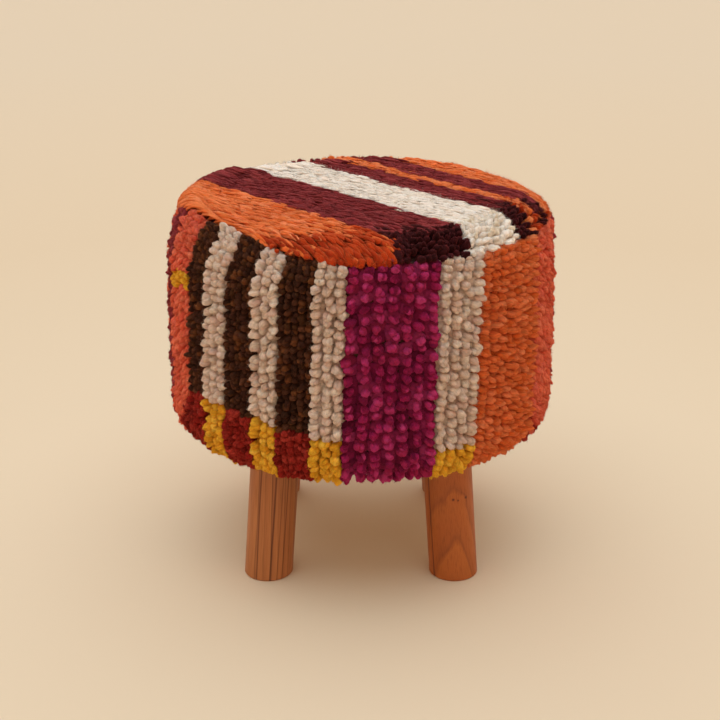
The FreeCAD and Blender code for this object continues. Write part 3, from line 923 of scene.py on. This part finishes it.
def rug_ground():
    """The two pieces of ground weave that carry the pile: the side strip with its hem flap, and the top."""
    flap = cols(np.linspace(HEM_RADIUS, FLAP_RADIUS, 5)[1:], np.full(4, FLAP_HEIGHT))
    foot = ROUND_STEPS + WALL_STEPS
    run = foot + ROUND_STEPS

    def strip(degrees):
        _, roots, _ = side_path(degrees)
        return chain(roots[:ROUND_STEPS:3], roots[ROUND_STEPS:foot:6], roots[foot:run:3], roots[run:], flap)

    def disc(degrees):
        shape = (centre, _), _, seam = rim(degrees)
        flat = np.array([0.6, 20, 40, 60, 80, 100, 120, centre])
        return over_top(shape, PILE, flat, np.linspace(90, seam, 12)[1:])

    cloth = ground_cloth("rug_ground")
    side_ground = lathed("side_ground_cloth", strip, cloth, 192)
    thicken(side_ground, 2.4, 1.0)
    top_ground = lathed("top_ground_cloth", disc, cloth, 160)
    thicken(top_ground, 2.4, -1.0)
    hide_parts("rug_side_brown", "rug_side_beige")
    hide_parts("rug_top_orange", "rug_top_maroon", "rug_top_cream")
    return side_ground, top_ground


def foam_pieces():
    """The seat pad and the wrap round the drum, with soft edges and a slight unevenness."""
    material = foam("foam")
    low, r = 321.0, 180.5

    def pad(degrees):
        (centre, level), (_, b), _ = rim(degrees)
        top, level = level + b - PILE - 4, max(level, 330.0)
        arc = np.radians(np.linspace(90, 0, 13))
        upper = [(0.5, top + 0.6), (60, top + 0.5), (120, top + 0.3)]
        turn = [(centre + (r - centre) * math.cos(t), level - 1 + (top - level + 1) * math.sin(t))
                for t in arc]
        lower = [(r + 0.4, 327), (r, 324), (r - 3, low + 0.5), (120, low), (60, low), (0.5, low)]
        return np.array(upper + turn + lower)

    def wrap(_):
        return np.array([(163.2, 318), (164.5, 320.5), (180, 320.5), (182.4, 318), (183.2, 300), (183.4, 238),
                         (183, 180), (182.0, 165), (178, 158.4), (168, 156.4), (163.4, 158)])

    seat_pad = lathed("seat_pad", pad, material, 128, False, 0.7, 5)
    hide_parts("foam_pad")
    side_wrap = lathed("side_wrap", wrap, material, 128, True, 0.5, 6)
    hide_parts("foam_wrap")


def leg_places():
    """Each leg's foot centre and top centre, in mm."""
    places = {}
    for name, degrees in (("front_right", -45), ("front_left", -135), ("rear_left", 135), ("rear_right", 45)):
        way = Vector((math.cos(math.radians(degrees)), math.sin(math.radians(degrees)), 0))
        places[name] = way * LEG_FOOT, way * LEG_HEAD + Vector((0, 0, LEG_HEIGHT))
    return places


def circle(x, y, radius, count):
    return [(x + radius * math.cos(a), y + radius * math.sin(a))
            for a in np.linspace(0, TURN, count + 1)[:-1]]


def dust_cover():
    """The black cloth under the seat: a disc round the legs, a little slack between its staples."""
    holes = [foot.lerp(top, COVER_HEIGHT / LEG_HEIGHT) for foot, top in leg_places().values()]
    rings = [circle(0, 0, COVER_RADIUS, 144)] + [circle(c.x, c.y, COVER_HOLE, 48) for c in holes]

    def past_holes(plan):
        """How far points are outside the nearest hole."""
        return np.min([np.hypot(plan[:, 0] - c.x, plan[:, 1] - c.y) for c in holes], axis=0) - COVER_HOLE

    grid = np.arange(-150, 151, 8.0)
    inner = np.stack(np.meshgrid(grid, grid, indexing="ij"), -1).reshape(-1, 2)
    inner = inner[(np.hypot(*inner.T) < COVER_RADIUS - 5) & (past_holes(inner) > 5)]
    flat, edges = [], []
    for ring in rings:
        first = len(flat)
        flat += ring
        edges += [(first + i, first + (i + 1) % len(ring)) for i in range(len(ring))]
    made = delaunay_2d_cdt([Vector(p) for p in flat + inner.tolist()], edges, [], 0, 1e-4)
    plan = np.array([tuple(p) for p in made[0]])
    clear = past_holes(np.array([plan[list(f)].mean(0) for f in made[2]])) > -0.4
    faces = [f for f, kept in zip(made[2], clear) if kept]
    inward = COVER_RADIUS - np.hypot(*plan.T)
    slack = np.clip(np.minimum(inward, past_holes(plan)) / 30, 0, 1)
    turn = np.arctan2(plan[:, 1], plan[:, 0])
    pucker = 0.5 * np.sin(turn * 36) * np.clip(1 - inward / 22, 0, 1)
    sag = slack ** 1.5 * (1.6 + 0.5 * np.sin(plan[:, 0] / 31) * np.cos(plan[:, 1] / 27))
    points = np.column_stack([plan, COVER_HEIGHT - 0.15 - sag + pucker * slack])
    faces = [f if np.cross(plan[f[1]] - plan[f[0]], plan[f[2]] - plan[f[0]]) < 0 else f[::-1] for f in faces]
    corners = np.concatenate(faces)
    uv = plan[corners] / (2 * COVER_RADIUS) + 0.5
    cover = mesh_piece("dust_cloth", points, corners, [len(f) for f in faces], dust_cloth("dust_cloth"),
                       uv)
    thicken(cover, 0.5, 0.0)
    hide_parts("dust_cover")
    return cover


def staples():
    """The dust cover's staples: flat wire crowns round its edge, with rounded shoulders."""
    rng = np.random.default_rng(21)
    number, radius, level = 30, 153.0, 152.0
    route = np.array([(-5.0, 1.0), (-4.9, 0.25), (-4.3, -0.1), (4.3, -0.1), (4.9, 0.25), (5.0, 1.0)])
    x, z = route.T[:, :, None]
    wide, high = np.array([-0.55, 0.55, 0.55, -0.55]), np.array([-0.3, -0.3, 0.3, 0.3])
    shoulder = np.abs(x) > 4.8
    x, y, z = x + high * np.sign(x) * shoulder, wide * np.where(shoulder, 0.75, 1.0), z + high * ~shoulder
    points = []
    for i in range(number):
        degrees = i * 360 / number + 3 + rng.normal(0, 0.7)
        a, skew = math.radians(degrees), math.radians(degrees + 90 + rng.normal(0, 7))
        points.append(cols(radius * math.cos(a) + x * math.cos(skew) - y * math.sin(skew),
                           radius * math.sin(a) + x * math.sin(skew) + y * math.cos(skew), level + z))
    k, j = np.meshgrid(np.arange(len(route) - 1) * 4, np.arange(4), indexing="ij")
    j2 = (j + 1) % 4
    quads = cols(k + j, k + j2, k + 4 + j2, k + 4 + j).ravel()
    corners = (np.arange(number)[:, None] * x.size + quads).ravel()
    counts = np.full(len(corners) // 4, 4)
    return mesh_piece("cover_staples", np.reshape(points, (-1, 3)), corners, counts, STEEL)


# ---- The frame's own solids ----

def finish_node(name, material):
    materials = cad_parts[name].data.materials
    materials.clear()
    materials.append(material)


def turned(degrees, axis):
    return Matrix.Rotation(math.radians(degrees), 3, Vector(axis)).to_euler()


KNOTS = (((0.0937, -0.1152, 0.0909), 0.0011), ((0.0988, -0.1141, 0.0896), 0.0008),
         ((0.1069, -0.1092, 0.0909), 0.0012))
# Each leg's wood: where its pith is, the grain's tilt, its tint, knots and dark lines
LEG_LOOKS = {
    "front_left": ((-0.046, -0.046), turned(1.0, (1, 0, 0)), (0.82, 0.80, 0.78, 1), (),
                   ((106, 0.05, 0.9), (141, 0.06, 1.0), (158, 0.04, 0.6), (171, 0.04, 0.8))),
    "front_right": ((-0.020, -0.020), turned(-7.0, (-0.707, 0.707, 0)), (0.82, 0.58, 0.28, 1), KNOTS,
                    ((-9, 0.06, 1.0),)),
    "rear_left": ((-0.05, 0.04), turned(3.0, (1, 0, 0)), (0.82, 0.76, 0.70, 1), (), ()),
    "rear_right": ((0.06, 0.02), turned(-3.0, (0, 1, 0)), (0.82, 0.76, 0.70, 1), (), ()),
}


def frame_finishes():
    boards, posts = plywood("plywood"), batten("batten")
    finish_node("base_board", boards)
    finish_node("top_board", boards)
    for side in ("right", "rear", "left", "front"):
        finish_node("post_" + side, posts)
    finish_node("drum_skin", hardboard("hardboard"))
    finish_node("hanger_bolts", STEEL)
    finish_node("threaded_inserts", STEEL)
    for name, (foot, top) in leg_places().items():
        axis = (top - foot).normalized()
        outward = Vector((foot.x, foot.y, 0)).normalized()
        outward = (outward - axis * outward.dot(axis)).normalized()
        turn = Matrix((outward.cross(axis), outward, axis)).transposed().to_euler()
        finish_node("leg_" + name, wood("leg_wood_" + name, foot * MM, turn, *LEG_LOOKS[name]))


# ---- Studio and camera ----

def sun(name, energy, spread, colour, way):
    light = bpy.data.lights.new(name, "SUN")
    light.energy, light.angle, light.color = energy, math.radians(spread), colour
    lamp = bpy.data.objects.new(name, light)
    lamp.rotation_euler = Vector(way).to_track_quat("-Z", "Y").to_euler()
    bpy.context.scene.collection.objects.link(lamp)


def studio():
    """A paper floor under a warm glow from low all round, two soft suns, and the photograph's camera."""
    scene = bpy.context.scene
    mesh = bpy.data.meshes.new("floor")
    mesh.from_pydata([(-14, -14, 0), (14, -14, 0), (14, 14, 0), (-14, 14, 0)], [], [(0, 1, 2, 3)])
    floor = bpy.data.objects.new("floor", mesh)
    scene.collection.objects.link(floor)
    paper = Nodes("floor_paper", Roughness=0.9, Specular_IOR_Level=0.1)
    # Painted light: the paper is a little lighter within about a metre of the stool, lifting the shadow under
    # it
    away = paper.between(paper.distance(paper.coords(), (0, 0, 0)), 0.0, 3.0)
    tones = paper.ramp(away, [(0.12, "ddc9b0"), (0.4, "d6c1a7"), (1.0, "d4c2ac")])
    mesh.materials.append(paper.finished(tones))
    world = bpy.data.worlds.new("studio")
    scene.world = world
    world.use_nodes = True
    nodes, links = world.node_tree.nodes, world.node_tree.links
    height, walls = nodes.new("ShaderNodeSeparateXYZ"), nodes.new("ShaderNodeValToRGB")
    links.new(nodes.new("ShaderNodeTexCoord").outputs["Generated"], height.inputs[0])
    links.new(height.outputs["Z"], walls.inputs[0])
    backdrop, glow = (0.297, 0.233, 0.169, 1), (1.0, 0.652, 0.395, 1)
    fill_ramp(walls.color_ramp, ((0.0, backdrop), (0.23, backdrop), (0.27, glow), (0.43, glow), (0.47, 0.0)))
    links.new(walls.outputs["Color"], nodes["Background"].inputs["Color"])
    nodes["Background"].inputs["Strength"].default_value = 2.66
    sun("front", 0.5, 60, (0.71, 0.94, 1.0), (0.0, 0.6, -1.0))
    sun("overhead", 2.46, 90, (0.855, 0.962, 1.0), (0.06, -0.16, -1.0))
    scene.view_settings.view_transform = "Standard"
    sensor, focal, width = 36.0, 1532.9, 720     # the sensor in mm, the rest in pixels
    camera = bpy.data.cameras.new("camera")
    camera.sensor_width = sensor
    camera.lens = sensor * focal / width
    camera.shift_x = -1 / width
    camera.clip_end = 60
    eye = bpy.data.objects.new("camera", camera)
    eye.location = (0, -1.5185, 0.7834)
    eye.rotation_euler = (Vector((0, 0, 0.19897)) - eye.location).to_track_quat("-Z", "Y").to_euler()
    scene.collection.objects.link(eye)
    scene.camera = eye


studio()
frame_finishes()
side_pile, top_pile = rug_pile(TopGround())
side_ground, top_ground = rug_ground()
foam_pieces()
cover = dust_cover()
staples()
